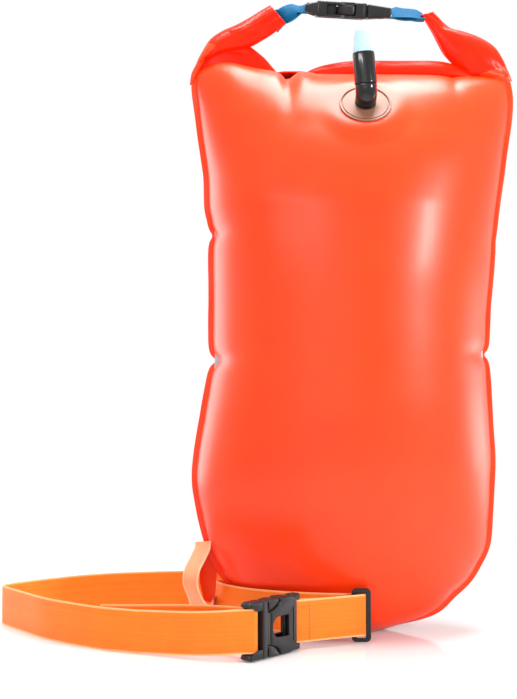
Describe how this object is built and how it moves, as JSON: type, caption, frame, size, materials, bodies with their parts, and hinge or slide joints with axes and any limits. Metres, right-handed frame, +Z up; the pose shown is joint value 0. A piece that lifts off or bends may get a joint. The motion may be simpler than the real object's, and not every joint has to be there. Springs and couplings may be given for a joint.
{
  "type": "open water swim buoy",
  "caption": "Inflatable roll-top tow bag with a buckled carry handle, a swivelling oral valve, a leash and a waist belt with a side-release buckle.",
  "frame": {"origin": "centre of the flat patch on the bag's base that it stands on", "axes": "+Z up the bag towards its rolled mouth, -Y the front with the valve, +X to the right seen from the front"},
  "size_m": [0.5129, 0.2732, 0.6279],
  "materials": {
    "bag_pvc": "satin coated film, welded along its edges",
    "roll_pvc": "glossy coated film, folded",
    "liner_film": "matt film",
    "stiffener_plastic": "matt strip",
    "buckle_acetal": "fine moulded texture, softly shiny",
    "handle_webbing": "tightly woven webbing",
    "belt_webbing": "ribbed webbing with firm edges",
    "valve_disc_pvc": "cloudy clear film, welded on",
    "valve_rubber": "glossy black",
    "mouthpiece_plastic": "pale, slightly clear",
    "spring_steel": "bright wire"
  },
  "bodies": {
    "root": {"bag_front_skin": "bag_pvc", "bag_back_skin": "bag_pvc", "dry_liner_front": "liner_film", "dry_liner_back": "liner_film", "roll_band": "roll_pvc", "roll_stiffener": "stiffener_plastic", "roll_ear_left": "roll_pvc", "roll_ear_right": "roll_pvc", "roll_webbing_left": "handle_webbing", "roll_buckle_housing": "buckle_acetal", "valve_base_disc": "valve_disc_pvc", "waist_belt_webbing": "belt_webbing", "waist_buckle_housing": "buckle_acetal", "belt_slider": "buckle_acetal", "leash_webbing": "belt_webbing", "leash_tab": "roll_pvc"},
    "roll_plug": {"roll_buckle_plug": "buckle_acetal", "roll_webbing_right": "handle_webbing"},
    "roll_arm_a": {"roll_buckle_arm_a": "buckle_acetal"},
    "roll_arm_b": {"roll_buckle_arm_b": "buckle_acetal"},
    "waist_plug": {"waist_buckle_plug": "buckle_acetal", "waist_belt_plug_end": "belt_webbing"},
    "waist_arm_a": {"waist_buckle_arm_a": "buckle_acetal"},
    "waist_arm_b": {"waist_buckle_arm_b": "buckle_acetal"},
    "valve_body": {"valve_elbow": "valve_rubber", "valve_spring": "spring_steel"},
    "valve_lock": {"valve_lock_sleeve": "valve_rubber"},
    "valve_mouth": {"valve_mouthpiece": "mouthpiece_plastic", "valve_stem": "mouthpiece_plastic", "valve_seal": "valve_rubber"}
  },
  "joints": [
    {"name": "roll_buckle_release", "type": "slide", "parent": "root", "child": "roll_plug", "axis": [0.9981, 0, -0.0611], "range_m": [0, 0.03], "deforming": ["roll_webbing_right", "roll_buckle_arm_a", "roll_buckle_arm_b"]},
    {"name": "roll_buckle_squeeze", "type": "hinge", "parent": "roll_plug", "child": "roll_arm_a", "pos_m": [0.02158, 0.01922, 0.61688], "axis": [0.0584, -0.2924, 0.9545], "range_deg": [0, 14], "stiffness_Nm_per_rad": 0.02},
    {"name": "roll_buckle_squeeze_b", "type": "hinge", "parent": "roll_plug", "child": "roll_arm_b", "pos_m": [0.02086, -0.01922, 0.60515], "axis": [0.0584, -0.2924, 0.9545], "range_deg": [-14, 0]},
    {"name": "waist_buckle_release", "type": "slide", "parent": "root", "child": "waist_plug", "axis": [-0.6428, -0.766, 0], "range_m": [0, 0.03], "deforming": ["waist_belt_plug_end", "waist_buckle_arm_a", "waist_buckle_arm_b"]},
    {"name": "waist_buckle_squeeze", "type": "hinge", "parent": "waist_plug", "child": "waist_arm_a", "pos_m": [-0.0818, -0.12776, 0.0453], "axis": [-0.766, 0.6428, 0], "range_deg": [0, 14], "stiffness_Nm_per_rad": 0.02},
    {"name": "waist_buckle_squeeze_b", "type": "hinge", "parent": "waist_plug", "child": "waist_arm_b", "pos_m": [-0.0818, -0.12776, 0.0051], "axis": [-0.766, 0.6428, 0], "range_deg": [-14, 0]},
    {"name": "valve_swivel", "type": "hinge", "parent": "root", "child": "valve_body", "pos_m": [0.015, -0.06663, 0.50097], "axis": [0, -0.8191, 0.5736], "range_deg": [-60, 60]},
    {"name": "valve_lock_twist", "type": "hinge", "parent": "valve_body", "child": "valve_lock", "pos_m": [0.01442, -0.0794, 0.51621], "axis": [-0.0866, -0.0725, 0.9936], "range_deg": [0, 90]},
    {"name": "mouthpiece_press", "type": "slide", "parent": "valve_body", "child": "valve_mouth", "axis": [0.0866, 0.0725, -0.9936], "range_m": [0, 0.003], "stiffness_N_per_m": 400, "springref_m": -0.002, "deforming": ["valve_spring"]}
  ],
  "couplings": [
    {"joint": "roll_buckle_squeeze_b", "follows": "roll_buckle_squeeze", "ratio": -1},
    {"joint": "waist_buckle_squeeze_b", "follows": "waist_buckle_squeeze", "ratio": -1}
  ]
}
